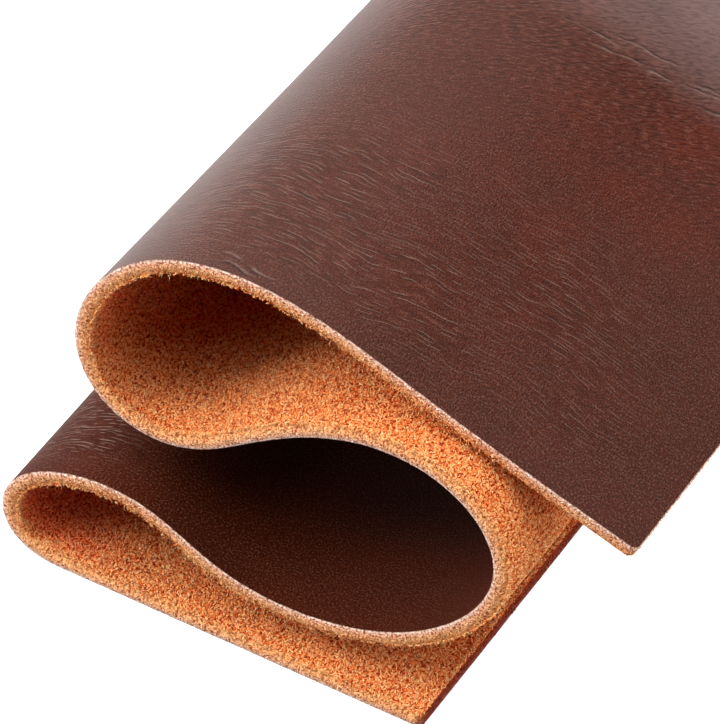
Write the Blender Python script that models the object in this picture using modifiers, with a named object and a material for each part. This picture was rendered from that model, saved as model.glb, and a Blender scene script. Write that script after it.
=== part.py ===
"""A cut sheet of leather hide, folded back and forth into four layers, lying on a flat surface.

The sheet is bent and never stretched. It is followed along its cut length, from the end of the bottom
layer to the end of the top layer. A ruling is a line across the sheet, from its near to its far cut
edge, that stays straight while the sheet bends about it.

Metres, +Z up, +X along the near edge to the right, +Y away from it. The origin is the middle of the
bounding box's base.
"""

import math

import bmesh
import bpy
from mathutils import Quaternion, Vector

MM = 0.001

# The cut sheet
LENGTH = 304.8 * MM
WIDTH = 152.4 * MM
THICKNESS = 2.0 * MM
CORNER_RADIUS = 1.0 * MM

# How sharply the sheet bends at places along it: along is in millimetres, and bend in degrees for
# each millimetre. A positive bend turns the bottom layer's far end up and back to the right.
BENDS = (
    # place, along, bend
    ("bottom layer's end", 0.0, 0.0),
    ("bottom layer leaves the surface", 50.0, 0.0),
    ("fold 1, at its sharpest", 58.0, 12.1),
    ("fold 1, side", 66.0, 6.58),
    ("fold 1, top", 75.0, 2.78),
    ("fold 1, last of its turn", 85.0, 3.7),
    ("layer 2, first of its sag", 97.0, -2.61),
    ("layer 2, sag", 110.0, -1.56),
    ("layer 2, at its lowest", 122.0, -1.98),
    ("fold 2, first of its turn", 134.0, -2.38),
    ("fold 2, at its sharpest", 146.0, -5.72),
    ("fold 2, top", 158.0, -3.77),
    ("layer 3, crest", 174.0, -1.77),
    ("layer 3, slope", 189.0, -0.33),
    ("fold 3, first of its turn", 201.0, 4.46),
    ("fold 3, at its sharpest", 213.0, 6.53),
    ("fold 3, side", 226.0, 2.91),
    ("fold 3, top", 241.0, 2.98),
    ("top layer, first of its slope", 256.0, 1.43),
    ("top layer, slope", 274.0, -0.17),
    ("top layer's end", 304.8, 0.0),
)

# How much further along the sheet a ruling meets the far edge than the near edge, in millimetres
SLANTS = (
    # place, along, slant
    ("bottom layer's end", 0.0, 0.0),
    ("fold 1, first of its turn", 49.0, 6.0),
    ("fold 1, last of its turn", 82.0, -0.8),
    ("layer 2, at its lowest", 128.0, 5.4),
    ("layer 3, crest", 177.0, 7.2),
    ("fold 3, side", 226.0, 5.8),
    ("top layer's end", 304.8, 6.1),
)

# How finely the bends are cut into facets
LONGEST_STEP = 4.0 * MM
SHARPEST_STEP = 6.0
ROWS_ACROSS = 6

HIDE_BROWN = (0.115, 0.042, 0.03, 1.0)
HIDE_ROUGHNESS = 0.45


def value_at(table, along):
    """The table's value at a place along the sheet, on the straight lines between its rows."""
    for (_, low, first), (_, high, second) in zip(table, table[1:]):
        if along <= high * MM:
            return first + (second - first) * (along / MM - low) / (high - low)
    return table[-1][2]


def turned(along):
    """Degrees that the sheet has turned between its bottom end and this place."""
    total = 0.0
    for (_, low, first), (_, high, second) in zip(BENDS, BENDS[1:]):
        reach = min(along / MM, high) - low
        if reach <= 0.0:
            break
        bend = first + (second - first) * reach / (high - low)
        total += reach * (first + bend) / 2
    return total


def stations():
    """Places along the sheet that have a ruling: close together at sharp bends and at the corners."""
    rounding = [CORNER_RADIUS * (1.0 - math.cos(math.radians(turn))) for turn in (0, 30, 60, 90)]
    places = list(rounding)
    while places[-1] < LENGTH - CORNER_RADIUS:
        bend = max(abs(value_at(BENDS, places[-1] + ahead)) for ahead in (0.0, LONGEST_STEP))
        places.append(places[-1] + min(LONGEST_STEP, SHARPEST_STEP * MM / max(bend, 0.1)))
    while places[-1] > LENGTH - CORNER_RADIUS - LONGEST_STEP / 2:
        places.pop()
    return places + [LENGTH - place for place in reversed(rounding)]


def rulings(places):
    """The near and the far end of each ruling, in the middle of the thickness."""
    onward = Vector((-1.0, 0.0, 0.0))
    across = Vector((0.0, 1.0, 0.0))
    near = Vector((0.0, 0.0, THICKNESS / 2))
    middles = [(first + second) / 2 for first, second in zip(places, places[1:])]
    heading = [turned(place) for place in [0.0] + middles + [LENGTH]]
    ends = []
    for number, place in enumerate(places):
        if number:
            near = near + onward * (place - places[number - 1])
        far = near + onward * value_at(SLANTS, place) * MM + across * WIDTH
        ends.append((near, far))
        bend = Quaternion((far - near).normalized(), math.radians(heading[number + 1] - heading[number]))
        onward = bend @ onward
        across = bend @ across
    return ends


def corner_inset(place):
    """How far the rounded corners draw the near and far edges in at this place."""
    depth = CORNER_RADIUS - min(place, LENGTH - place, CORNER_RADIUS)
    return CORNER_RADIUS - math.sqrt(CORNER_RADIUS**2 - depth**2)


def make_sheet():
    """The folded sheet's middle surface: a flat grid whose columns are laid on the rulings."""
    places = stations()
    ends = rulings(places)
    columns = len(places) - 1
    sheet = bmesh.new()
    bmesh.ops.create_grid(sheet, x_segments=columns, y_segments=ROWS_ACROSS, size=0.5)
    for corner in sheet.verts:
        number = round((corner.co.x + 0.5) * columns)
        inset = corner_inset(places[number]) / WIDTH
        share = inset + (corner.co.y + 0.5) * (1.0 - 2.0 * inset)
        near, far = ends[number]
        corner.co = near.lerp(far, share)
    mesh = bpy.data.meshes.new("hide")
    sheet.to_mesh(mesh)
    sheet.free()
    mesh.shade_smooth()
    mesh.set_sharp_from_angle(angle=math.radians(40))
    return mesh


def leather():
    material = bpy.data.materials.new("leather")
    material.use_nodes = True
    shader = material.node_tree.nodes["Principled BSDF"]
    shader.inputs["Base Color"].default_value = HIDE_BROWN
    shader.inputs["Roughness"].default_value = HIDE_ROUGHNESS
    shader.inputs["Metallic"].default_value = 0.0
    return material


def make_hide(collection):
    hide = bpy.data.objects.new("hide", make_sheet())
    hide.data.materials.append(leather())
    collection.objects.link(hide)
    leather_thickness = hide.modifiers.new("leather thickness", "SOLIDIFY")
    leather_thickness.thickness = THICKNESS
    leather_thickness.offset = 0.0
    leather_thickness.use_even_offset = True
    return hide


def stand_on_origin(piece):
    """Moves the piece sideways until the origin is the middle of its base."""
    graph = bpy.context.evaluated_depsgraph_get()
    box = [Vector(corner) for corner in piece.evaluated_get(graph).bound_box]
    low = Vector(min(corner[axis] for corner in box) for axis in range(3))
    high = Vector(max(corner[axis] for corner in box) for axis in range(3))
    piece.location.xy = -(low + high).xy / 2


def main():
    for item in list(bpy.data.objects):
        bpy.data.objects.remove(item)
    collection = bpy.data.collections.new("leather hide")
    bpy.context.scene.collection.children.link(collection)
    hide = make_hide(collection)
    stand_on_origin(hide)


main()
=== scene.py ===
"""The looks of a cut sheet of leather hide, folded back and forth into four layers.

The skin repeats the solid's folds with a finer surface: a smooth grain side, a rough flesh side and
rough cut faces. Crumbs and fibres of loose nap lie on the flesh side and stand out of the cut. Metres,
except where a name or a comment says millimetres.
"""

import math

import bpy
import numpy as np
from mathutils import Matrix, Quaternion, Vector


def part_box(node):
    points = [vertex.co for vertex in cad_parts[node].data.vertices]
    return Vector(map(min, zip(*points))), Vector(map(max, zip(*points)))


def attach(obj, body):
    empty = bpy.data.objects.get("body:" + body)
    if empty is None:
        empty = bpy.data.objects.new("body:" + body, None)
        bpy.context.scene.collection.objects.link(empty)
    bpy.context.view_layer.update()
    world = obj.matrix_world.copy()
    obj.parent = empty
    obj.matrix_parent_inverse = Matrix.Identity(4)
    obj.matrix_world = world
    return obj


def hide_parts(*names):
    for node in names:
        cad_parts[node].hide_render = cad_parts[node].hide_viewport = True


MM = 0.001

# The cut sheet
LENGTH = 304.8 * MM
WIDTH = 152.4 * MM
THICKNESS = 2.0 * MM
CORNER_RADIUS = 1.0 * MM

# How sharply the sheet bends at places along it: along is in millimetres, and bend in degrees for
# each millimetre. A positive bend turns the bottom layer's far end up and back to the right.
BENDS = (
    # place, along, bend
    ("bottom layer's end", 0.0, 0.0),
    ("bottom layer leaves the surface", 50.0, 0.0),
    ("fold 1, at its sharpest", 58.0, 12.1),
    ("fold 1, side", 66.0, 6.58),
    ("fold 1, top", 75.0, 2.78),
    ("fold 1, last of its turn", 85.0, 3.7),
    ("layer 2, first of its sag", 97.0, -2.61),
    ("layer 2, sag", 110.0, -1.56),
    ("layer 2, at its lowest", 122.0, -1.98),
    ("fold 2, first of its turn", 134.0, -2.38),
    ("fold 2, at its sharpest", 146.0, -5.72),
    ("fold 2, top", 158.0, -3.77),
    ("layer 3, crest", 174.0, -1.77),
    ("layer 3, slope", 189.0, -0.33),
    ("fold 3, first of its turn", 201.0, 4.46),
    ("fold 3, at its sharpest", 213.0, 6.53),
    ("fold 3, side", 226.0, 2.91),
    ("fold 3, top", 241.0, 2.98),
    ("top layer, first of its slope", 256.0, 1.43),
    ("top layer, slope", 274.0, -0.17),
    ("top layer's end", 304.8, 0.0),
)

# How much further along the sheet a ruling meets the far edge than the near edge, in millimetres
SLANTS = (
    # place, along, slant
    ("bottom layer's end", 0.0, 0.0),
    ("fold 1, first of its turn", 49.0, 6.0),
    ("fold 1, last of its turn", 82.0, -0.8),
    ("layer 2, at its lowest", 128.0, 5.4),
    ("layer 3, crest", 177.0, 7.2),
    ("fold 3, side", 226.0, 5.8),
    ("top layer's end", 304.8, 6.1),
)

# Creases in the grain side: where each starts and ends on the flat sheet, how wide and how deep it is,
# in millimetres, and which of its sides gets a painted highlight: 1 is the far side and -1 the near side
CREASES = (
    # name, along_1, across_1, along_2, across_2, width, depth, painted highlight side
    ("long crease, first part", 259.5, 63.0, 268.5, 64.3, 1.1, 0.16, -1),
    ("long crease, middle", 264.0, 61.8, 273.0, 64.4, 1.1, 0.20, -1),
    ("long crease, third part", 270.5, 63.2, 277.5, 65.4, 1.0, 0.18, -1),
    ("long crease, sharp part", 274.5, 64.7, 284.5, 68.2, 1.1, 0.24, -1),
    ("beside the sharp part", 276.5, 66.3, 286.5, 69.6, 1.0, 0.18, -1),
    ("long crease's end", 282.5, 67.0, 295.0, 69.4, 1.1, 0.18, -1),
    ("above the long crease", 265.0, 64.9, 275.5, 67.4, 1.0, 0.12, -1),
    ("below the long crease", 279.5, 63.9, 286.5, 66.0, 1.0, 0.12, -1),
    ("by the near edge", 245.4, 1.4, 251.6, 1.0, 0.5, 0.14, 1),
    ("by the near edge, further in", 245.8, 2.7, 249.2, 2.6, 0.5, 0.09, 1),
    ("by the near edge, further on", 249.4, 2.1, 253.8, 1.7, 0.5, 0.09, 1),
)
# How wide a crease's painted highlight line and painted shade line are, and how far apart, in millimetres
CREASE_LINE = 0.26
CREASE_LINES_APART = 0.32

# Where the flesh side's nap is thick: crumbs for each square millimetre, inside a patch of the flat
# sheet in millimetres. It thins out over the last part of each patch.
NAP = (
    # name, along_1, along_2, across_1, across_2, crumbs
    ("bottom layer", -9.0, 60.0, -9.0, 26.0, 9.5),
    ("fold 1", 44.0, 96.0, -9.0, 22.0, 9.5),
    ("fold 2", 122.0, 206.0, -9.0, 56.0, 8.0),
    ("fold 3", 190.0, 266.0, -9.0, 34.0, 8.0),
    ("far edge", -9.0, 314.0, 146.0, 161.0, 2.0),
    ("everywhere", -9.0, 314.0, -9.0, 161.0, 0.35),
)
NAP_FADE = 8.0
# The nap's meshes: their part of the sheet in millimetres, and how light their crumbs are, from 0 to 1
NAP_PIECES = (
    # name, along_1, along_2, lightness
    # Painted light: the bottom layer's crumbs are lighter, to brighten its front strip
    ("nap_bottom_layer", 0.0, 56.0, 0.62),
    ("nap_fold_1", 56.0, 128.0, 0.50),
    ("nap_fold_2", 128.0, 190.0, 0.52),
    ("nap_fold_3", 190.0, 304.8, 0.52),
)
LIGHTNESS_SPREAD = 0.24
# The nap's crumbs: their sizes and how deep they are sunk in millimetres, and how steeply they dip and
# how far they turn inward in degrees
CRUMB_LENGTH = (0.30, 0.70)
CRUMB_WIDTH = (0.14, 0.26)
CRUMB_SUNK = (-0.04, 0.12)
CRUMB_DIP = (-10.0, 55.0)
CRUMB_HEADING = 75.0
CRUMB_HEADING_SPREAD = 45.0

# The fray that stands out of the cut's flesh side: crumbs for each millimetre of the cut, and how far
# they hang out of it, in millimetres
FRAY = (
    # place, along, crumbs, reach
    ("bottom layer's end", 0.0, 9.0, 0.25),
    ("bottom layer", 50.0, 9.0, 0.25),
    ("fold 1, side", 62.0, 12.0, 0.35),
    ("layer 2, under fold 1's top", 98.0, 14.0, 0.60),
    ("layer 2, at its lowest", 118.0, 7.0, 0.20),
    ("fold 2, first of its turn", 132.0, 9.0, 0.35),
    ("fold 2, at its sharpest", 146.0, 12.0, 0.50),
    ("layer 3, crest", 174.0, 9.0, 0.25),
    ("fold 3, at its sharpest", 213.0, 8.0, 0.20),
    ("fold 3, top", 241.0, 12.0, 0.40),
    ("top layer, slope", 276.0, 8.0, 0.22),
    ("top layer, by its end", 289.0, 0.6, 0.02),
    ("top layer's end", 304.8, 0.3, 0.01),
)
MOST_FRAY = 14.0
# How far out of the rim the fray's crumbs are, in millimetres, and their size beside the nap's crumbs
FRAY_OUT = (-0.65, -0.20)
FRAY_CRUMB_SIZE = 0.8
FRAY_LIGHTNESS = 0.70
# Fibres for each millimetre of the cut where the fray is at its thickest, and their sizes and how deep
# they are rooted in millimetres
FIBRES_PER_MM = 1.1
FIBRE_LENGTH = (0.3, 1.1)
FIBRE_WIDTH = 0.09
FIBRE_ROOT = 0.45
FIBRE_LIGHTNESS = 0.75
# How far the random choice reaches that breaks the fray into clumps and gaps
CLUMP_RANGE = 1.1

# Crumbs on the cut faces, for each square millimetre, and their sizes and how far out they stand in
# millimetres
CUT_CRUMBS = 13.0
CUT_CRUMB_LENGTH = (0.22, 0.50)
CUT_CRUMB_WIDTH = (0.14, 0.26)
CUT_CRUMB_OUT = 0.02
CUT_CRUMB_LIGHTNESS = 0.5
SCATTER_SEED = 5

# How far along the sheet the lower layers' duller grain side reaches, in millimetres
LOWER_LAYERS_END = 195.0

# The soft rise of the top layer beyond its long creases: its height, and where it rises and sinks on
# the flat sheet, in millimetres
RISE = 2.0
RISES_ALONG = (244.0, 276.0)
RISES_ACROSS = (65.0, 92.0)
SINKS_ACROSS = (140.0, 100.0)

# The gentle unevenness of the whole sheet, which starts where the sheet has left the surface: its
# height and how wide its lumps are, in millimetres
UNEVEN = 0.10
UNEVEN_LUMP = 22.0
STARTS_ALONG = (60.0, 90.0)

# Lumps of the flesh side, and how far it stands out in all, in millimetres
FLESH_LUMPS = (
    # name, size, height, seed
    ("fine", 0.9, 0.06, 21),
    ("coarse", 2.6, 0.05, 22),
)
FLESH_OUT = 0.03

# The cut faces: the height and size of their lumps, how far apart the levels lie in the noise, and how
# far the rims by the grain side and by the flesh side are worn back, in millimetres
CUT_LUMP_HEIGHT = 0.10
CUT_LUMP = 0.75
LEVELS_APART = 1.7
GRAIN_RIM_WORN = 0.10
FLESH_RIM_WORN = 0.36

# The skin's mesh: stations along the sheet, at its corners in millimetres, rows across it and levels
# through its thickness
STATION_STEP = 0.5 * MM
CORNER_STATIONS = (0.04, 0.13, 0.27, 0.75)
NEAR_ROW_STEP = 0.3 * MM
FAR_ROW_STEP = 0.6 * MM
WIDEST_ROW_STEP = 4.0 * MM
ROW_GROWTH = 0.09
FAR_ROW_GROWTH = 1.5 * ROW_GROWTH
CREASE_ROW_STEP = 0.7 * MM
CREASE_ROW_GROWTH = 0.25
CREASE_ROWS_AT = 66.0 * MM
LEVELS = 6
SHARP_ANGLE = 55.0
CORNER_POINTS = 7
# The sides of a crumb or a fibre
THIRDS = np.radians((0.0, 120.0, 240.0))

# The skin's materials, in the order in which they are given to it
GRAIN, FLESH, CUT, LOWER_GRAIN = range(4)

# Colours of the grain side
WHITE = (1.0, 1.0, 1.0, 1.0)
TOP_LAYER_BROWN = (0.060, 0.0110, 0.0036, 1.0)
LOWER_LAYERS_BROWN = (0.053, 0.0072, 0.0010, 1.0)
REDDER_BROWN = (0.070, 0.0076, 0.0008, 1.0)
CORNER_BROWN = (0.046, 0.0060, 0.0006, 1.0)
# Painted sheen: a pale mauve haze that stands for the gloss beyond the long creases
PAINTED_SHEEN = (0.142, 0.087, 0.080, 1.0)
# Painted highlight on the tops of the pebbles
PAINTED_PEBBLE_HIGHLIGHT = (0.170, 0.078, 0.056, 1.0)
# Painted highlight on the crests of the wrinkles and the crinkles
PAINTED_WRINKLE_HIGHLIGHT = (0.27, 0.165, 0.130, 1.0)
# Painted highlight on the lit side of each crease
PAINTED_CREASE_HIGHLIGHT = (0.19, 0.120, 0.100, 1.0)
# Painted shade in the furrows beside the wrinkles and along the creases
PAINTED_LINE_SHADE = (0.006, 0.002, 0.001, 1.0)
TOP_LAYER_SPECULAR = 0.185
LOWER_LAYERS_SPECULAR = 0.05

# Soft round spots of the top layer in another brown: where they are on the flat sheet and how wide, in
# millimetres, and how strong
RED_SPOTS = (
    # name, along, across, radius, strength
    ("further in", 284.0, 57.0, 21.0, 1.0),
    ("nearer", 272.0, 31.0, 24.0, 0.5),
)
DARK_SPOTS = (("near corner", 300.0, 16.0, 40.0, 0.9),)

# The grain side's ramps across the sheet take places as shares of this, in millimetres
DEPTH_RANGE = 150.0

# Streaks, as shares of their spacing: how wide the painted highlight line and the painted shade line
# beside it are, how far off that is, and how far apart the rows lie in the noise that breaks them
STREAK = 0.15
STREAK_SHADE = 0.17
STREAK_SHADE_OFF = 0.24
STREAK_ROWS_APART = 7.31

# Painted shade, deeper red, that the flesh side and its nap are multiplied with deep inside folds 1 and 3
PAINTED_FOLD_SHADE = (1.0, 0.50, 0.50, 1.0)

# Soft square lights that face the sheet. Azimuth 0 is in front of the near edge and 90 on its right,
# and both angles are in degrees.
LIGHTS = (
    # name, azimuth, elevation, power
    ("front left", 300.0, 40.0, 19.5),
    ("right, low", 90.0, 10.0, 7.8),
    ("back left, high", 240.0, 70.0, 7.1),
    ("right", 90.0, 40.0, 6.0),
    ("front, high", 0.0, 70.0, 5.8),
    ("front left, low", 300.0, 10.0, 5.8),
    ("above", 0.0, 90.0, 3.8),
    ("front left, nearer the front", 330.0, 40.0, 3.8),
    ("back", 180.0, 40.0, 3.0),
    ("back right, high", 120.0, 70.0, 2.9),
    ("back left, low", 210.0, 10.0, 3.4),
    ("left, low, behind", 240.0, 10.0, 5.0),
    ("back right, low", 120.0, 10.0, 2.7),
    ("front right, low", 60.0, 10.0, 1.2),
    ("back left", 240.0, 40.0, 1.8),
    ("back left, nearer the back", 210.0, 40.0, 1.6),
    ("back, high", 180.0, 70.0, 1.1),
    ("back, low", 180.0, 10.0, 0.9),
)
LIGHT_DISTANCE = 1.5
LIGHT_SIZE = 0.8

# The soft light from below, brightest towards one side of the room and least on the other
BELOW_AZIMUTH = 225.0
BRIGHTEST_BELOW = 1.8
LEAST_BELOW = 0.33
FLOOR_HALF = 4.0

# The camera of the photograph: far away, so that the sheet's lines stay nearly parallel
CAMERA_AZIMUTH = 31.08
CAMERA_ELEVATION = 43.18
CAMERA_DISTANCE = 554.9 * MM
NEAR_CLIP = 0.01
# In millimetres
LENS = 223.8
SENSOR = 36.0
# What the middle of the picture shows, from a point on the near edge left of the bottom layer's end
AIM_RIGHT = 40.72 * MM
AIM_UP = 23.77 * MM
LEFT_OF_END = 55.99 * MM


def value_at(table, along, column=2):
    """The table's value at a place along the sheet, on the straight lines between its rows."""
    return np.interp(along / MM, [row[1] for row in table], [row[column] for row in table])


def turned(along):
    """Degrees that the sheet has turned between its bottom end and this place."""
    total = 0.0
    for (_, low, first), (_, high, second) in zip(BENDS, BENDS[1:]):
        reach = min(along / MM, high) - low
        if reach <= 0.0:
            break
        bend = first + (second - first) * reach / (high - low)
        total += reach * (first + bend) / 2
    return total


def unit(ways):
    return ways / np.linalg.norm(ways, axis=-1, keepdims=True)


class FoldedSheet:
    """The sheet's middle surface: its rulings' near and far ends and the grain side's direction."""

    def __init__(self):
        even = np.linspace(0.0, LENGTH, round(LENGTH / STATION_STEP) + 1)
        corner = np.array(CORNER_STATIONS) * MM
        self.places = np.sort(np.concatenate([even, corner, LENGTH - corner]))
        self.slants = value_at(SLANTS, self.places) * MM
        middles = (self.places[:-1] + self.places[1:]) / 2
        heading = [0.0] + [turned(place) for place in middles] + [turned(LENGTH)]
        onward = Vector((-1.0, 0.0, 0.0))
        across = Vector((0.0, 1.0, 0.0))
        near = Vector((0.0, 0.0, THICKNESS / 2))
        near_ends, far_ends, grain_ways = [], [], []
        for number, place in enumerate(self.places):
            if number:
                near = near + onward * (place - self.places[number - 1])
            far = near + onward * self.slants[number] + across * WIDTH
            ruling = (far - near).normalized()
            turn = math.radians(heading[number + 1] - heading[number])
            grain_ways.append(Quaternion(ruling, turn / 2) @ onward.cross(across))
            near_ends.append(near)
            far_ends.append(far)
            onward = Quaternion(ruling, turn) @ onward
            across = Quaternion(ruling, turn) @ across
        self.near_ends = np.array(near_ends)
        self.far_ends = np.array(far_ends)
        self.grain_ways = np.array(grain_ways)

    def shift(self, step):
        self.near_ends += step
        self.far_ends += step

    def at(self, values, place):
        """An array over the stations, read at any places along the near edge."""
        return np.stack([np.interp(place, self.places, values[:, axis]) for axis in range(3)], axis=-1)

    def along(self, place, share):
        return place + np.interp(place, self.places, self.slants) * share

    def frames(self, place, share):
        """Points on the middle surface and the ways there: to the grain side, inward and onward."""
        near = self.at(self.near_ends, place)
        ruling = self.at(self.far_ends, place) - near
        points = near + ruling * share[..., None]
        grain = unit(self.at(self.grain_ways, place))
        inward = unit(ruling)
        onward = np.cross(inward, grain)
        return points, grain, inward, onward


def soft_noise(along, across, cell, seed):
    """Smooth random values from -1 to 1 over the flat sheet, with lumps about a cell across."""
    cells = 512
    grid = np.random.default_rng(seed).uniform(-1.0, 1.0, (cells, cells))
    x, y = along / cell, across / cell
    left, low = np.floor(x).astype(int), np.floor(y).astype(int)
    x, y = x - left, y - low
    x, y = x * x * (3.0 - 2.0 * x), y * y * (3.0 - 2.0 * y)
    a = grid[left % cells, low % cells] * (1.0 - x) + grid[(left + 1) % cells, low % cells] * x
    b = grid[left % cells, (low + 1) % cells] * (1.0 - x) + grid[(left + 1) % cells, (low + 1) % cells] * x
    return a * (1.0 - y) + b * y


def smooth_step(low, high, value):
    share = np.clip((value - low) / (high - low), 0.0, 1.0)
    return share * share * (3.0 - 2.0 * share)


def row_shares():
    """Places across the sheet, as shares of its width: close together at the cut edges and the creases."""
    places = [0.0]
    while places[-1] < WIDTH:
        here = places[-1]
        step = min(
            NEAR_ROW_STEP + ROW_GROWTH * here,
            WIDEST_ROW_STEP,
            FAR_ROW_STEP + FAR_ROW_GROWTH * max(WIDTH - here, 0.0),
            CREASE_ROW_STEP + CREASE_ROW_GROWTH * abs(here - CREASE_ROWS_AT),
        )
        places.append(here + step)
    return np.array(places) / places[-1]


def crease_relief(along, across):
    """Depth below the grain side of the listed creases."""
    depth = np.zeros_like(along)
    for _, along_1, across_1, along_2, across_2, width, deep, _ in CREASES:
        share = (along / MM - along_1) / (along_2 - along_1)
        inside = np.clip(share, 0.0, 1.0)
        line = across_1 + (across_2 - across_1) * inside
        fade = smooth_step(-0.05, 0.25, share) * smooth_step(1.05, 0.7, share)
        depth += deep * MM * fade * np.exp(-(((across / MM - line) / (width / 2)) ** 2))
    return depth


def warp(along, across):
    """How far the whole thickness rises out of the smooth folds: gentle, and nothing where it rests."""
    gentle = UNEVEN * MM * soft_noise(along, across, UNEVEN_LUMP * MM, seed=11)
    gentle = gentle * smooth_step(*STARTS_ALONG, along / MM)
    beyond = smooth_step(*RISES_ACROSS, across / MM) * smooth_step(*SINKS_ACROSS, across / MM)
    return gentle + RISE * MM * beyond * smooth_step(*RISES_ALONG, along / MM)


def build_lattice(sheet):
    """Points of the skin for each station, row and level, with their places on the flat sheet."""
    shares = row_shares()
    stations, rows, levels = len(sheet.places), len(shares), LEVELS + 1
    from_end = np.minimum(sheet.places, LENGTH - sheet.places)
    bite = CORNER_RADIUS - np.minimum(from_end, CORNER_RADIUS)
    inset = (CORNER_RADIUS - np.sqrt(CORNER_RADIUS**2 - bite**2)) / WIDTH
    share = inset[:, None] + shares[None] * (1.0 - 2.0 * inset[:, None])
    place = np.repeat(sheet.places[:, None], rows, axis=1)
    points, grain, inward, onward = sheet.frames(place, share)
    along, across = sheet.along(place, share), share * WIDTH
    lifted = warp(along, across)
    grain_side = -crease_relief(along, across)
    lumps = sum(high * soft_noise(along, across, size * MM, seed) for _, size, high, seed in FLESH_LUMPS)
    flesh_side = (lumps + FLESH_OUT) * MM
    height = np.linspace(0.0, 1.0, levels)
    lattice = np.zeros((stations, rows, levels, 3))
    for level, rise in enumerate(height):
        out = (rise - 0.5) * THICKNESS + lifted + grain_side * rise + flesh_side * (1.0 - rise)
        lattice[:, :, level] = points + grain * out[..., None]
    roughen_edges(lattice, sheet, inward, onward, height)
    flat = np.zeros_like(lattice)
    flat[..., 0] = along[..., None]
    flat[..., 1] = across[..., None]
    flat[..., 2] = height * THICKNESS
    return lattice, flat / MM


def worn_rim(height):
    """How far the cut face is worn back near the flesh side."""
    return FLESH_RIM_WORN * MM * smooth_step(0.5, 0.0, height)


def cut_relief(where, height, seed):
    """How far the cut stands out at each place and level: clean by the grain side, crumbly by the flesh."""
    levels = np.arange(len(height)) * LEVELS_APART * MM
    rough = soft_noise(*np.broadcast_arrays(where[:, None], levels), CUT_LUMP * MM, seed)
    crumble = 0.35 + 0.65 * (1.0 - height) ** 2
    worn = GRAIN_RIM_WORN * MM * smooth_step(0.8, 1.0, height) + worn_rim(height)
    return rough * CUT_LUMP_HEIGHT * MM * crumble - worn


def roughen_edges(lattice, sheet, inward, onward, height):
    """Makes the cut faces uneven: along the near and the far edge, then at the sheet's two ends."""
    for row, way, seed in ((0, -1.0, 31), (-1, 1.0, 32)):
        out = cut_relief(sheet.places, height, seed) * way
        lattice[:, row] += inward[:, row, None] * out[..., None]
    for station, way, seed in ((0, -1.0, 33), (-1, 1.0, 34)):
        across = np.linalg.norm(lattice[station, :, 0] - lattice[station, :1, 0], axis=-1)
        out = cut_relief(across, height, seed) * way
        lattice[station] += onward[station, :, None] * out[..., None]


def add_attribute(mesh, name, kind, key, values):
    attribute = mesh.attributes.new(name, kind, "POINT")
    attribute.data.foreach_set(key, values.astype(np.float32).ravel())


def lattice_mesh(name, lattice, flat):
    """The closed surface of the lattice. Its faces know whether they are grain, flesh or cut edge."""
    stations, rows, levels = lattice.shape[:3]
    outer = np.zeros((stations, rows, levels), bool)
    outer[[0, -1]] = True
    outer[:, [0, -1]] = True
    outer[:, :, [0, -1]] = True
    ids = np.full(outer.shape, -1)
    ids[outer] = np.arange(outer.sum())
    sides = (
        # vertex numbers, turned over, material
        (ids[:, :, -1], False, GRAIN),
        (ids[:, :, 0], True, FLESH),
        (ids[:, 0, :], True, CUT),
        (ids[:, -1, :], False, CUT),
        (ids[0], False, CUT),
        (ids[-1], True, CUT),
    )
    quads, kinds = [], []
    for side, turned_over, kind in sides:
        quad = np.stack([side[:-1, :-1], side[1:, :-1], side[1:, 1:], side[:-1, 1:]], axis=-1).reshape(-1, 4)
        if turned_over:
            quad = quad[:, ::-1]
        quads.append(quad)
        kinds.append(np.full(len(quad), kind))
    kinds[0][(flat[:-1, :-1, -1, 0] < LOWER_LAYERS_END).ravel()] = LOWER_GRAIN
    mesh = bpy.data.meshes.new(name)
    mesh.from_pydata(lattice[outer].tolist(), [], np.concatenate(quads).tolist())
    mesh.polygons.foreach_set("material_index", np.concatenate(kinds).astype(np.int32))
    add_attribute(mesh, "sheet_mm", "FLOAT_VECTOR", "vector", flat[outer])
    mesh.shade_smooth()
    mesh.set_sharp_from_angle(angle=math.radians(SHARP_ANGLE))
    mesh.update()
    return mesh


def between(rng, limits, count):
    return rng.uniform(limits[0], limits[1], count) * MM


def across_to(ways, rng):
    """A random unit vector at right angles to each way."""
    return unit(np.cross(ways, rng.normal(size=ways.shape)))


def crumb_shapes(centres, ways, lengths, widths, rng):
    """A small spindle for each centre: two tips and three points round its middle."""
    side = across_to(ways, rng)
    other = np.cross(ways, side)
    points = [centres - ways * lengths[:, None] / 2]
    for turn in THIRDS:
        around = side * math.cos(turn) + other * math.sin(turn)
        along = rng.uniform(-0.15, 0.15, (len(centres), 1)) * lengths[:, None]
        points.append(centres + ways * along + around * widths[:, None] / 2)
    points.append(centres + ways * lengths[:, None] / 2)
    faces = ((0, 2, 1), (0, 3, 2), (0, 1, 3), (4, 1, 2), (4, 2, 3), (4, 3, 1))
    return np.stack(points, axis=1), faces


def fibre_shapes(roots, ways, lengths, width, rng):
    """A thin curly fibre for each root: three triangles round it and a tip."""
    side = across_to(ways, rng)
    other = np.cross(ways, side)
    curl = side * rng.uniform(0.15, 0.75, (len(roots), 1)) * lengths[:, None]
    twist = other * rng.uniform(-0.3, 0.3, (len(roots), 1)) * lengths[:, None]
    points = []
    for share, thick in ((0.0, 1.0), (0.4, 0.85), (0.75, 0.6)):
        middle = roots + ways * lengths[:, None] * share + curl * share**2 + twist * math.sin(share * 4.0)
        for turn in THIRDS:
            points.append(middle + (side * math.cos(turn) + other * math.sin(turn)) * width * thick / 2)
    points.append(roots + ways * lengths[:, None] + curl + twist * math.sin(4.0))
    faces = [(0, 2, 1)]
    for ring in (0, 3):
        for one, two in ((0, 1), (1, 2), (2, 0)):
            faces += [(ring + one, ring + two, ring + 3 + two), (ring + one, ring + 3 + two, ring + 3 + one)]
    faces += [(6, 7, 9), (7, 8, 9), (8, 6, 9)]
    return np.stack(points, axis=1), faces


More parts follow.
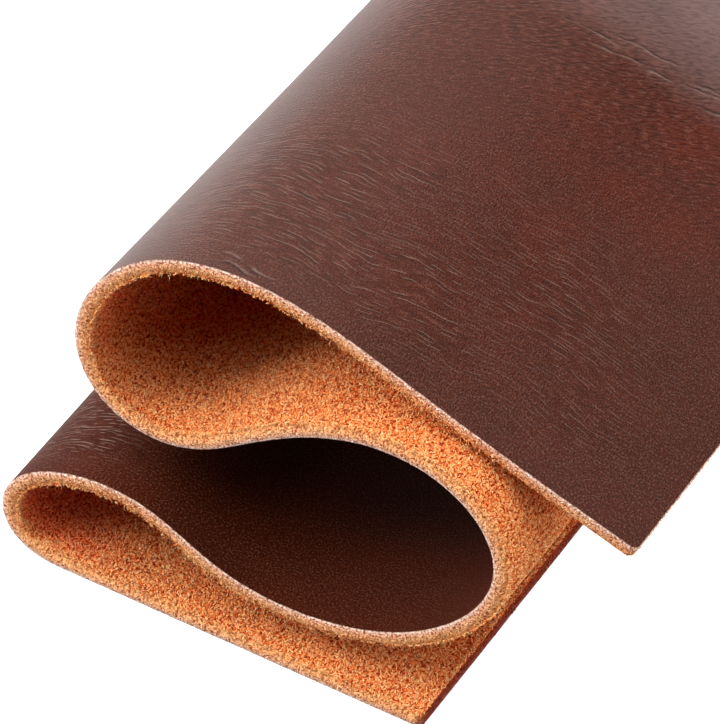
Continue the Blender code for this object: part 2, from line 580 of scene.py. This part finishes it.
def joined_mesh(name, shapes, rng):
    """One mesh of many small shapes, each with its place on the flat sheet and its own tone."""
    points, faces, places, tones = [], [], [], []
    count = 0
    for corners, corner_faces, flat, lightness in shapes:
        number, each = corners.shape[:2]
        starts = count + np.arange(number)[:, None, None] * each
        faces.append((np.array(corner_faces)[None] + starts).reshape(-1, 3))
        points.append(corners.reshape(-1, 3))
        places.append(np.repeat(flat, each, axis=0))
        tones.append(np.repeat(np.clip(rng.normal(lightness, LIGHTNESS_SPREAD, number), 0.0, 1.0), each))
        count += number * each
    mesh = bpy.data.meshes.new(name)
    mesh.from_pydata(np.concatenate(points).tolist(), [], np.concatenate(faces).tolist())
    add_attribute(mesh, "sheet_mm", "FLOAT_VECTOR", "vector", np.concatenate(places))
    add_attribute(mesh, "tone", "FLOAT", "value", np.concatenate(tones))
    mesh.shade_smooth()
    mesh.update()
    return mesh


def nap_density(along, across):
    """Crumbs for each square millimetre at places on the flat sheet in millimetres."""
    density = np.zeros_like(along)
    for _, along_1, along_2, across_1, across_2, crumbs in NAP:
        inside = smooth_step(along_1, along_1 + NAP_FADE, along)
        inside *= smooth_step(along_2, along_2 - NAP_FADE, along)
        inside *= smooth_step(across_1, across_1 + NAP_FADE, across)
        inside *= smooth_step(across_2, across_2 - NAP_FADE, across)
        density = np.maximum(density, crumbs * inside)
    return density


def nap_crumbs(sheet, along_1, along_2, lightness, rng):
    """Crumbs that lie half sunk in the flesh side."""
    most = max(row[-1] for row in NAP)
    count = int((along_2 - along_1) * WIDTH / MM * most)
    place = between(rng, (along_1, along_2), count)
    share = rng.uniform(0.0, 1.0, count)
    keep = rng.uniform(0.0, most, count) < nap_density(place / MM, share * WIDTH / MM)
    place, share = place[keep], share[keep]
    count = len(place)
    middle, grain, inward, onward = sheet.frames(place, share)
    along, across = sheet.along(place, share), share * WIDTH
    flat = np.stack([along, across, np.zeros(count)], axis=-1) / MM
    dip = np.radians(rng.uniform(*CRUMB_DIP, count))[:, None]
    heading = rng.normal(np.radians(CRUMB_HEADING), np.radians(CRUMB_HEADING_SPREAD), count)[:, None]
    level = onward * np.cos(heading) + inward * np.sin(heading)
    ways = unit(level * np.cos(dip) - grain * np.sin(dip))
    sunk = between(rng, CRUMB_SUNK, (count, 1))
    centres = middle + grain * (warp(along, across)[:, None] - THICKNESS / 2 - sunk)
    lengths, widths = between(rng, CRUMB_LENGTH, count), between(rng, CRUMB_WIDTH, count)
    corners, faces = crumb_shapes(centres, ways, lengths, widths, rng)
    return corners, faces, flat, lightness


class CutPath:
    """The cut's outline on the flat sheet, with its round corners, followed all the way round."""

    def __init__(self, sheet):
        self.sheet = sheet
        corners = (
            # along, across, first outward angle
            (LENGTH - CORNER_RADIUS, CORNER_RADIUS, -90.0),
            (LENGTH - CORNER_RADIUS, WIDTH - CORNER_RADIUS, 0.0),
            (CORNER_RADIUS, WIDTH - CORNER_RADIUS, 90.0),
            (CORNER_RADIUS, CORNER_RADIUS, 180.0),
        )
        centres = np.repeat([corner[:2] for corner in corners], CORNER_POINTS, axis=0)
        turns = np.linspace(0.0, 90.0, CORNER_POINTS)
        angles = np.radians(np.concatenate([corner[2] + turns for corner in corners]))
        self.outward = np.stack([np.cos(angles), np.sin(angles)], axis=-1)
        self.outward = np.concatenate([self.outward, self.outward[:1]])
        points = centres + CORNER_RADIUS * self.outward[:-1]
        self.points = np.concatenate([points, points[:1]])
        steps = np.linalg.norm(np.diff(self.points, axis=0), axis=-1)
        self.distance = np.concatenate([[0.0], np.cumsum(steps)])
        self.length = self.distance[-1]

    def places(self, where):
        """The place along the near edge of points that far round the cut."""
        return np.interp(where, self.distance, self.points[:, 0])

    def frames(self, where, height):
        """Points at a height in the cut face, and the ways there: grain, outward and round the cut."""
        place, across = (np.interp(where, self.distance, self.points[:, axis]) for axis in (0, 1))
        x, y = (np.interp(where, self.distance, self.outward[:, axis])[:, None] for axis in (0, 1))
        middle, grain, inward, onward = self.sheet.frames(place, across / WIDTH)
        outward = unit(onward * x + inward * y)
        along = self.sheet.along(place, across / WIDTH)
        points = middle + grain * (warp(along, across) - THICKNESS / 2 + height)[:, None]
        flat = np.stack([along, across, height], axis=-1) / MM
        return points, grain, outward, np.cross(grain, outward), flat


def clumps(where, seed):
    """From about -1 to 1 along the cut, in clumps and gaps."""
    nowhere = np.zeros_like(where)
    coarse = soft_noise(where, nowhere, 2.2 * MM, seed)
    return coarse + 0.6 * soft_noise(where, nowhere, 0.8 * MM, seed + 1)


def fray_places(path, per_mm, seed, rng):
    """Places round the cut, in clumps that are thick where the table of the fray says so."""
    where = rng.uniform(0.0, path.length, int(path.length / MM * per_mm * 2))
    where = where[rng.uniform(0.0, MOST_FRAY, len(where)) < value_at(FRAY, path.places(where))]
    return where[rng.uniform(-CLUMP_RANGE, CLUMP_RANGE, len(where)) < clumps(where, seed)]


def fray_crumbs(path, rng):
    """Crumbs that hang out of the rim of the flesh side."""
    where = fray_places(path, MOST_FRAY, 51, rng)
    count = len(where)
    rim, grain, outward, onward, flat = path.frames(where, np.zeros(count))
    out = between(rng, FRAY_OUT, (count, 1))
    reach = value_at(FRAY, path.places(where), column=3)[:, None]
    down = rng.uniform(-0.1, 1.0, (count, 1)) ** 2 * reach * MM
    ways = unit(onward * rng.normal(0.0, 0.8, (count, 1)) - grain * 0.6 + outward * 0.2)
    ways = unit(ways + rng.normal(0.0, 0.25, ways.shape))
    lengths, widths = between(rng, CRUMB_LENGTH, count) * FRAY_CRUMB_SIZE, between(rng, CRUMB_WIDTH, count)
    corners, faces = crumb_shapes(rim + outward * out - grain * down, ways, lengths, widths, rng)
    return corners, faces, flat, FRAY_LIGHTNESS


def fray_fibres(path, rng):
    """Loose curly fibres at the rim of the flesh side."""
    where = fray_places(path, FIBRES_PER_MM, 71, rng)
    count = len(where)
    roots, grain, outward, onward, flat = path.frames(where, rng.uniform(-0.1, 0.5, count) * MM)
    ways = unit(outward * 0.4 - grain * 0.7 + onward * rng.normal(0.0, 0.8, (count, 1)))
    ways = unit(ways + rng.normal(0.0, 0.3, ways.shape))
    shortest, longest = FIBRE_LENGTH
    lengths = (shortest + (longest - shortest) * rng.power(0.4, count)) * MM
    corners, faces = fibre_shapes(roots - outward * FIBRE_ROOT * MM, ways, lengths, FIBRE_WIDTH * MM, rng)
    return corners, faces, flat, FIBRE_LIGHTNESS


def cut_crumbs(path, rng):
    """Small crumbs on the cut face: thick by the flesh side and none in the last part by the grain side."""
    count = int(path.length * THICKNESS / MM**2 * CUT_CRUMBS)
    where = rng.uniform(0.0, path.length, count)
    height = rng.uniform(0.0, 1.0, count)
    keep = rng.uniform(0.0, 1.0, count) < smooth_step(0.95, 0.55, height)
    where, height = where[keep], height[keep]
    count = len(where)
    points, _, outward, _, flat = path.frames(where, height * THICKNESS)
    worn = worn_rim(height) - CUT_CRUMB_OUT * MM
    ways = unit(rng.normal(size=points.shape) + outward * 0.3)
    lengths, widths = between(rng, CUT_CRUMB_LENGTH, count), between(rng, CUT_CRUMB_WIDTH, count)
    corners, faces = crumb_shapes(points - outward * worn[:, None], ways, lengths, widths, rng)
    return corners, faces, flat, CUT_CRUMB_LIGHTNESS


class Nodes:
    """A short way to write the nodes of a tree."""

    def __init__(self, tree):
        self.tree = tree

    def node(self, kind, settings=None, **inputs):
        made = self.tree.nodes.new("ShaderNode" + kind)
        for key, value in (settings or {}).items():
            setattr(made, key, value)
        for key, value in inputs.items():
            self.feed(made.inputs[key], value)
        return made

    def feed(self, socket, value):
        """Links the value where it comes from another node, and sets it where it is plain."""
        if isinstance(value, bpy.types.NodeSocket):
            self.tree.links.new(value, socket)
        else:
            socket.default_value = value

    def attribute(self, name):
        return self.node("Attribute", {"attribute_name": name}).outputs

    def split(self, vector):
        return self.node("SeparateXYZ", {}, Vector=vector).outputs

    def math(self, operation, first, second=0.0, third=0.0):
        made = self.node("Math", {"operation": operation})
        for socket, value in zip(made.inputs, (first, second, third)):
            self.feed(socket, value)
        return made.outputs[0]

    def product(self, first, *others):
        for value in others:
            first = self.math("MULTIPLY", first, value)
        return first

    def vector_math(self, operation, first, second):
        made = self.node("VectorMath", {"operation": operation})
        self.feed(made.inputs[0], first)
        self.feed(made.inputs[1], second)
        return made.outputs

    def ramp(self, value, stops):
        """Colours or greys by value: stops are (place, colour) or (place, grey)."""
        made = self.node("ValToRGB")
        self.feed(made.inputs[0], value)
        points = made.color_ramp.elements
        while len(points) < len(stops):
            points.new(0.5)
        for point, (place, colour) in zip(points, stops):
            point.position = place
            point.color = (*colour, 1.0) if isinstance(colour, tuple) else (colour, colour, colour, 1.0)
        return made.outputs[0]

    def mix(self, share, first, second, blend="MIX"):
        made = self.node("Mix", {"data_type": "RGBA", "blend_type": blend})
        self.feed(made.inputs[0], share)
        self.feed(made.inputs[6], first)
        self.feed(made.inputs[7], second)
        return made.outputs[2]

    def times(self, first, second):
        """Two colours multiplied."""
        return self.mix(1.0, first, second, "MULTIPLY")

    def moved_across(self, vector, step):
        """Coordinates moved so far across the sheet."""
        return self.vector_math("ADD", vector, self.node("CombineXYZ", {}, Y=step).outputs[0])["Vector"]

    def stretched(self, vector, length, width, angle):
        """Coordinates whose cells are so long and so wide, turned so many degrees from along to across."""
        made = self.node("Mapping", {"vector_type": "TEXTURE"}, Vector=vector, Scale=(length, width, 1.0))
        self.feed(made.inputs["Rotation"], (0.0, 0.0, math.radians(angle)))
        return made.outputs[0]

    def noise(self, vector, scale, detail=2.0, roughness=0.5, distortion=0.0):
        made = self.node("TexNoise", {}, Vector=vector, Scale=scale, Detail=detail, Roughness=roughness)
        self.feed(made.inputs["Distortion"], distortion)
        return made.outputs["Fac"]

    def spots(self, place, table):
        """Soft round spots on the flat sheet, strongest in the middle and nothing at the rim."""
        total = 0.0
        for _, along, across, radius, strength in table:
            distance = self.vector_math("DISTANCE", place, (along, across, THICKNESS / MM))["Value"]
            spot = self.ramp(self.math("DIVIDE", distance, radius), ((0.0, 1.0), (1.0, 0.0)))
            total = self.math("MULTIPLY_ADD", spot, strength, total)
        return total

    def line(self, off, width):
        """1 where off is 0, and down to 0 at that width from it."""
        far = self.math("DIVIDE", self.math("ABSOLUTE", off), width)
        return self.math("SUBTRACT", 1.0, self.math("MINIMUM", far, 1.0))

    def streaks(self, vector, length, spacing, angle):
        """Short broken lines side by side: where each painted highlight line is, and the painted shade line
        beside it.
        """
        x, y, _ = self.split(self.stretched(vector, length, spacing, angle))
        row = self.math("FLOOR", y)
        there = self.node("CombineXYZ", {}, X=x, Y=self.product(row, STREAK_ROWS_APART)).outputs[0]
        shown = self.ramp(self.noise(there, 1.0, 0.0), ((0.48, 0.0), (0.60, 1.0)))
        off = self.math("SUBTRACT", self.math("SUBTRACT", y, row), 0.5)
        shade_off = self.math("ADD", off, STREAK_SHADE_OFF)
        pale = self.product(self.line(off, STREAK), shown)
        return pale, self.product(self.line(shade_off, STREAK_SHADE), shown)

    def bump(self, height, distance):
        return self.node("Bump", {}, Height=height, Distance=distance, Strength=1.0).outputs[0]


class Material(Nodes):
    def __init__(self, name):
        self.material = bpy.data.materials.new(name)
        self.material.use_nodes = True
        super().__init__(self.material.node_tree)
        self.shader = self.tree.nodes["Principled BSDF"]

    def shade(self, colour, roughness, specular, normal=None):
        """Feeds the shader. The specular level is the same all over, so it is set on the shader itself."""
        self.feed(self.shader.inputs["Base Color"], colour)
        self.feed(self.shader.inputs["Roughness"], roughness)
        self.shader.inputs["Specular IOR Level"].default_value = specular
        if normal is not None:
            self.feed(self.shader.inputs["Normal"], normal)
        return self.material


def crease_lines(n, place):
    """Where the painted highlight line and the painted shade line of each crease are."""
    along, across, _ = n.split(place)
    wavy = n.math("MULTIPLY_ADD", n.noise(place, 0.35, 1.0), 1.6, -0.8)
    across = n.math("ADD", across, wavy)
    broken = n.ramp(n.noise(place, 0.5, 1.0), ((0.38, 0.25), (0.52, 1.0)))
    pale = dark = 0.0
    for _, along_1, across_1, along_2, across_2, _, _, highlight_side in CREASES:
        length = along_2 - along_1
        share = n.math("MULTIPLY_ADD", along, 1.0 / length, -along_1 / length)
        off = n.math("MULTIPLY_ADD", share, across_1 - across_2, n.math("SUBTRACT", across, across_1))
        there = n.ramp(share, ((0.0, 0.0), (0.3, 1.0), (0.7, 1.0), (1.0, 0.0)))
        there = n.product(there, broken)
        dark = n.math("MAXIMUM", dark, n.product(n.line(off, CREASE_LINE), there))
        off = n.math("SUBTRACT", off, CREASE_LINES_APART * highlight_side)
        pale = n.math("MAXIMUM", pale, n.product(n.line(off, CREASE_LINE), there))
    return pale, dark


def wrinkle_lines(n, place, onward, depth, swayed, wrinkled):
    """Where the wrinkles by the near edge and the crinkles on the side of fold 1 get painted highlights on
    their crests and painted shade in their furrows.
    """
    waved = n.moved_across(swayed, n.product(n.noise(place, 0.30, 1.0), 1.3))
    crest, furrow = n.streaks(waved, 2.4, 0.62, 7.0)
    crinkle, crack = n.streaks(waved, 1.5, 0.60, 14.0)
    on_fold = n.ramp(onward, ((0.185, 0.0), (0.205, 1.0), (0.250, 1.0), (0.265, 0.0)))
    by_near_edge = n.ramp(depth, ((0.015, 0.0), (0.04, 1.0), (0.15, 0.8), (0.35, 0.35), (0.96, 0.25)))
    crinkled = n.product(on_fold, by_near_edge)
    pale = n.math("MAXIMUM", n.product(crest, wrinkled, 0.50), n.product(crinkle, crinkled, 0.9))
    dark = n.math("MAXIMUM", n.product(furrow, wrinkled), n.product(crack, crinkled))
    return pale, dark


def grain_relief(n, place, onward, depth):
    """The grain side's height, the coordinates that its wrinkles follow and where they are."""
    # Fine pebbles, drawn out into short dashes away from the near edge
    pebble = n.noise(place, 4.0, 0.5, 0.5)
    dash = n.noise(n.stretched(place, 1.2, 0.34, 34.0), 1.0, 1.0, 0.5, 0.3)
    rough = n.mix(n.ramp(depth, ((0.20, 0.12), (0.42, 0.85))), pebble, dash)

    # Fine wrinkles along the sheet, by the near edge of the top layer and on the side of fold 1
    sway = n.product(n.noise(n.stretched(place, 18.0, 25.0, 0.0), 1.0, 1.0), 7.0)
    swayed = n.moved_across(place, sway)
    wrinkle = n.noise(n.stretched(swayed, 2.4, 0.48, 7.0), 1.0, 1.0, 0.5, 0.35)
    by_near_edge = n.ramp(depth, ((0.010, 0.1), (0.045, 0.8), (0.15, 1.0), (0.20, 0.6), (0.28, 0.0)))
    fold_1 = ((0.17, 0.0), (0.19, 1.0), (0.25, 1.0), (0.28, 0.0))
    top_layer = ((0.73, 0.0), (0.77, 1.0), (0.93, 1.0), (0.98, 0.2))
    patchy = n.ramp(n.noise(place, 0.07, 2.0, 0.5), ((0.36, 0.45), (0.52, 1.0)))
    wrinkled = n.product(by_near_edge, n.ramp(onward, fold_1 + top_layer), patchy)
    return n.mix(n.product(wrinkled, 0.85), rough, n.mix(0.35, wrinkle, pebble)), swayed, wrinkled


def grain_browns(n, place, onward, depth, brown):
    """Red-brown, redder in two patches, darker in the near corner, and with a pale painted sheen beyond the
    long creases.
    """
    clouds = n.noise(place, 0.11, 3.0, 0.6)
    red = n.product(n.spots(place, RED_SPOTS), n.ramp(clouds, ((0.35, 0.4), (0.6, 1.0))))
    colour = n.mix(n.spots(place, DARK_SPOTS), n.mix(red, brown, REDDER_BROWN), CORNER_BROWN)
    # Where the painted sheen lies: beyond the long creases, towards the top layer's end
    beyond = n.ramp(depth, ((0.41, 0.0), (0.455, 0.5), (0.53, 1.0), (0.70, 1.0), (0.90, 0.0)))
    beyond = n.product(beyond, n.ramp(onward, ((0.79, 0.0), (0.87, 1.0))))
    tone = n.ramp(clouds, ((0.30, 0.88), (0.70, 1.12)))
    return n.times(n.mix(beyond, colour, PAINTED_SHEEN), tone), beyond


def grain_material(name, brown, specular):
    """The finished outer side: dark red-brown, semi-gloss, pebbled and finely wrinkled along the sheet."""
    n = Material(name)
    place = n.attribute("sheet_mm")["Vector"]
    along, across, _ = n.split(place)
    onward = n.math("DIVIDE", along, LENGTH / MM)
    depth = n.math("DIVIDE", across, DEPTH_RANGE)
    relief, swayed, wrinkled = grain_relief(n, place, onward, depth)
    colour, beyond = grain_browns(n, place, onward, depth, brown)
    # Painted shade in the pebbles' hollows and a little painted highlight on their tops, both weaker under
    # the painted sheen
    pores = n.ramp(relief, ((0.34, 0.50), (0.50, 1.00), (0.66, 1.12)))
    colour = n.times(colour, n.mix(n.product(beyond, 0.6), pores, WHITE))
    # Painted highlight on the pebbles' tops, fainter under the painted sheen
    tops = n.ramp(relief, ((0.54, 0.0), (0.70, 0.38)))
    colour = n.mix(n.product(tops, n.math("MULTIPLY_ADD", beyond, -0.6, 1.0)), colour, PAINTED_PEBBLE_HIGHLIGHT)

    # Painted shade in the wrinkles' furrows and painted highlights on their crests
    pale, dark = wrinkle_lines(n, place, onward, depth, swayed, wrinkled)
    colour = n.mix(n.product(dark, 0.55), colour, PAINTED_LINE_SHADE)
    colour = n.mix(pale, colour, PAINTED_WRINKLE_HIGHLIGHT)
    # Painted shade along each crease and a painted highlight on its lit side
    pale, dark = crease_lines(n, place)
    colour = n.mix(n.product(dark, 0.85), colour, PAINTED_LINE_SHADE)
    colour = n.mix(n.product(pale, 0.60), colour, PAINTED_CREASE_HIGHLIGHT)

    # Dull on the lower layers, glossier round fold 3 and glossiest on the top layer's slope
    lower_layers = ((0.64, 0.60), (0.70, 0.36))
    fold_3 = ((0.74, 0.42), (0.80, 0.42))
    slope = ((0.85, 0.33), (0.91, 0.34), (1.0, 0.50))
    dull = n.ramp(onward, lower_layers + fold_3 + slope)
    return n.shade(colour, dull, specular, n.bump(relief, 0.14 * MM))


def inside_folds(n, place):
    """How far inside fold 1 or fold 3 a place on the flesh side is, from 0 to 1, which is where painted
    shade goes.
    """
    along, across, _ = n.split(place)
    fold_1 = ((0.140, 0.0), (0.190, 1.0), (0.290, 1.0), (0.330, 0.0))
    fold_3 = ((0.695, 0.0), (0.755, 1.0), (0.860, 1.0), (0.90, 0.0))
    within = n.ramp(n.math("DIVIDE", along, LENGTH / MM), fold_1 + fold_3)
    return n.product(within, n.ramp(n.math("DIVIDE", across, 10.0), ((0.06, 0.0), (0.30, 1.0))))


def flesh_material():
    """The rough inner side under its nap: orange on its crumbs, matt, with painted red-brown shade in its
    pits and deeper red painted shade inside folds 1 and 3.
    """
    n = Material("flesh side")
    place = n.attribute("sheet_mm")["Vector"]
    crumb = n.noise(place, 2.8, 2.0, 0.6, 1.0)
    fine = n.noise(place, 5.0, 2.0, 0.6)
    # Painted shade: dark red-brown where the bump is low, in the pits between the crumbs
    colour = n.ramp(
        crumb,
        (
            (0.38, (0.28, 0.020, 0.003)),
            (0.46, (0.75, 0.130, 0.022)),
            (0.55, (0.98, 0.360, 0.105)),
            (0.68, (1.00, 0.590, 0.270)),
        ),
    )
    tone = n.ramp(n.noise(place, 0.09, 3.0, 0.6), ((0.3, (0.94, 0.90, 0.88)), (0.7, (1.0, 1.0, 1.0))))
    # Painted shade: deeper red inside folds 1 and 3
    tone = n.mix(inside_folds(n, place), tone, PAINTED_FOLD_SHADE)
    height = n.math("ADD", crumb, n.product(fine, 0.4))
    return n.shade(n.times(colour, tone), roughness=0.95, specular=0.08, normal=n.bump(height, 0.45 * MM))


def nap_material(name, redder):
    """Crumbs and fibres of the flesh side, each in its own tone from red-brown to pale orange, with painted
    shade deep inside folds 1 and 3 as strong as redder says.
    """
    n = Material(name)
    place = n.attribute("sheet_mm")["Vector"]
    speck = n.math("SUBTRACT", n.noise(place, 1.9, 2.0, 0.6), 0.5)
    colour = n.ramp(
        n.math("ADD", n.attribute("tone")["Fac"], n.product(speck, 2.6)),
        (
            (0.00, (0.48, 0.040, 0.005)),
            (0.20, (0.95, 0.230, 0.043)),
            (0.48, (1.00, 0.450, 0.150)),
            (1.00, (1.00, 0.640, 0.300)),
        ),
    )
    # Painted shade: deeper red inside folds 1 and 3
    tone = n.mix(n.product(inside_folds(n, place), redder), WHITE, PAINTED_FOLD_SHADE)
    return n.shade(n.times(colour, tone), roughness=0.85, specular=0.13)


def cut_colour(n, spread):
    """The cut's colours by height: orange by the flesh side, then tan, and pale pink by the grain side,
    which is partly the cut's own colour and partly a painted highlight on that rim.
    """
    place = n.attribute("sheet_mm")["Vector"]
    along, _, height = n.split(place)
    speck = n.noise(place, 2.8, 2.0, 0.7, 0.5)
    layer = n.ramp(
        n.math("DIVIDE", height, THICKNESS / MM),
        (
            (0.00, (0.96, 0.440, 0.150)),
            (0.40, (0.96, 0.490, 0.220)),
            (0.66, (0.92, 0.500, 0.280)),
            (0.82, (0.84, 0.500, 0.360)),
            (0.92, (0.98, 0.760, 0.640)),
            # Pale pink band: partly the cut's own colour and partly a painted highlight on the grain side's
            # rim
            (1.00, (0.45, 0.250, 0.200)),
        ),
    )
    # Painted shade: the cut at the bottom layer's end is darkened, as that end lies in shade
    layer = n.times(layer, n.ramp(along, ((0.0, (0.28, 0.07, 0.04)), (1.0, (1.0, 1.0, 1.0)))))
    specks = ((0.38, (0.42, 0.16, 0.08)), (0.50, (0.96, 0.88, 0.80)), (0.62, (1.2, 1.25, 1.3)))
    return n.mix(spread, layer, n.times(layer, n.ramp(speck, specks))), speck


def cut_material():
    n = Material("cut edge")
    colour, speck = cut_colour(n, 1.0)
    return n.shade(colour, roughness=0.7, specular=0.15, normal=n.bump(speck, 0.35 * MM))


def cut_crumb_material():
    """Crumbs on the cut faces: the cut's colours, each crumb darker or paler than its neighbours."""
    n = Material("cut crumbs")
    colour, _ = cut_colour(n, 0.3)
    tone = n.ramp(
        n.attribute("tone")["Fac"],
        ((0.05, (0.45, 0.19, 0.10)), (0.38, (1.0, 0.94, 0.86)), (0.86, (1.25, 1.65, 2.1))),
    )
    return n.shade(n.times(colour, tone), roughness=0.7, specular=0.15)


def make_floor():
    """A plain pale floor. It gives no light itself, as the world's light from below stands for it."""
    mesh = bpy.data.meshes.new("floor")
    corners = [(x * FLOOR_HALF, y * FLOOR_HALF, 0) for x, y in ((-1, -1), (1, -1), (1, 1), (-1, 1))]
    mesh.from_pydata(corners, [], [(0, 1, 2, 3)])
    floor = bpy.data.objects.new("floor", mesh)
    bpy.context.scene.collection.objects.link(floor)
    n = Material("pale floor")
    n.shader.inputs["Emission Color"].default_value = WHITE
    n.shader.inputs["Emission Strength"].default_value = 1.0
    mesh.materials.append(n.shade((0.5, 0.5, 0.5, 1.0), roughness=1.0, specular=0.0))
    floor.visible_diffuse = False
    floor.visible_glossy = False


def towards(azimuth, elevation):
    """The way out to these angles, which are in degrees."""
    azimuth, elevation = math.radians(azimuth), math.radians(elevation)
    level = math.cos(elevation)
    return Vector((math.sin(azimuth) * level, -math.cos(azimuth) * level, math.sin(elevation)))


def make_light(name, azimuth, elevation, power):
    outward = towards(azimuth, elevation)
    data = bpy.data.lights.new(name, "AREA")
    data.shape = "SQUARE"
    data.size = LIGHT_SIZE
    data.energy = power
    light = bpy.data.objects.new(name, data)
    light.location = outward * LIGHT_DISTANCE
    light.rotation_euler = outward.to_track_quat("Z", "Y").to_euler()
    bpy.context.scene.collection.objects.link(light)


def make_world():
    """Surroundings that are dark above the floor's level and give a soft uneven light from below it."""
    world = bpy.data.worlds.new("studio")
    world.use_nodes = True
    n = Nodes(world.node_tree)
    ways = n.node("TexCoord").outputs["Generated"]
    nearness = n.vector_math("DOT_PRODUCT", ways, towards(BELOW_AZIMUTH, 0.0))["Value"]
    share = n.math("MULTIPLY_ADD", nearness, 0.5, 0.5)
    strength = n.math("MULTIPLY_ADD", share, BRIGHTEST_BELOW - LEAST_BELOW, LEAST_BELOW)
    above = n.math("GREATER_THAN", n.split(ways)["Z"], 0.0)
    background = world.node_tree.nodes["Background"]
    n.feed(background.inputs["Strength"], n.product(strength, n.math("SUBTRACT", 1.0, above)))
    background.inputs["Color"].default_value = WHITE
    bpy.context.scene.world = world


def make_camera(sheet):
    azimuth = math.radians(CAMERA_AZIMUTH)
    right = Vector((math.cos(azimuth), math.sin(azimuth), 0.0))
    back = towards(CAMERA_AZIMUTH, CAMERA_ELEVATION)
    up = back.cross(right)
    corner = Vector(sheet.near_ends[0]) - Vector((LEFT_OF_END, 0.0, THICKNESS / 2))
    data = bpy.data.cameras.new("camera")
    data.lens = LENS
    data.sensor_width = SENSOR
    data.clip_start = NEAR_CLIP
    camera = bpy.data.objects.new("camera", data)
    camera.location = corner + right * AIM_RIGHT + up * AIM_UP + back * CAMERA_DISTANCE
    camera.rotation_euler = back.to_track_quat("Z", "Y").to_euler()
    bpy.context.scene.collection.objects.link(camera)
    bpy.context.scene.camera = camera


def add_piece(name, mesh, materials):
    piece = bpy.data.objects.new(name, mesh)
    for material in materials:
        mesh.materials.append(material)
    bpy.context.scene.collection.objects.link(piece)
    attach(piece, "root")
    return piece


def place_on_solid(sheet, low, high):
    """Moves the sheet sideways, so that seen from above its thick section's box lies in the middle of the
    solid's box.
    """
    half = sheet.grain_ways * THICKNESS / 2
    ends = np.stack([sheet.near_ends, sheet.far_ends])
    faces = np.concatenate([*(ends - half), *(ends + half)])
    middle = (faces.min(axis=0) + faces.max(axis=0)) / 2
    solid = (np.array(low) + np.array(high)) / 2
    sheet.shift(np.array([solid[0] - middle[0], solid[1] - middle[1], 0.0]))


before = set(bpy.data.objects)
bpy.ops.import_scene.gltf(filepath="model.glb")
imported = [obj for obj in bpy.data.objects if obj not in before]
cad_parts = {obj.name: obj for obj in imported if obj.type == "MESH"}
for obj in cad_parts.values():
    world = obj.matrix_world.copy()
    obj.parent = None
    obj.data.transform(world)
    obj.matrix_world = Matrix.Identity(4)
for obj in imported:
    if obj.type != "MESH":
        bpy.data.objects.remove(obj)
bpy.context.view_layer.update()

make_world()
make_floor()
for light in LIGHTS:
    make_light(*light)
sheet = FoldedSheet()
place_on_solid(sheet, *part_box("hide"))
make_camera(sheet)

lattice, flat = build_lattice(sheet)
skin_materials = [
    grain_material("grain side", TOP_LAYER_BROWN, TOP_LAYER_SPECULAR),
    flesh_material(),
    cut_material(),
    grain_material("grain side of the lower layers", LOWER_LAYERS_BROWN, LOWER_LAYERS_SPECULAR),
]
skin = add_piece("skin", lattice_mesh("skin", lattice, flat), skin_materials)
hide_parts("hide")

rng = np.random.default_rng(SCATTER_SEED)
nap = nap_material("flesh nap", 1.0)
path = CutPath(sheet)
for name, along_1, along_2, lightness in NAP_PIECES:
    crumbs = nap_crumbs(sheet, along_1, along_2, lightness, rng)
    add_piece(name, joined_mesh(name, [crumbs], rng), [nap])
fray = [fray_crumbs(path, rng), fray_fibres(path, rng)]
# The fray takes only a fifth of the painted shade inside the folds
add_piece("fray", joined_mesh("fray", fray, rng), [nap_material("fray", 0.2)])
crumbs = joined_mesh("cut_face_crumbs", [cut_crumbs(path, rng)], rng)
add_piece("cut_face_crumbs", crumbs, [cut_crumb_material()])

bpy.context.scene.view_settings.view_transform = "Standard"
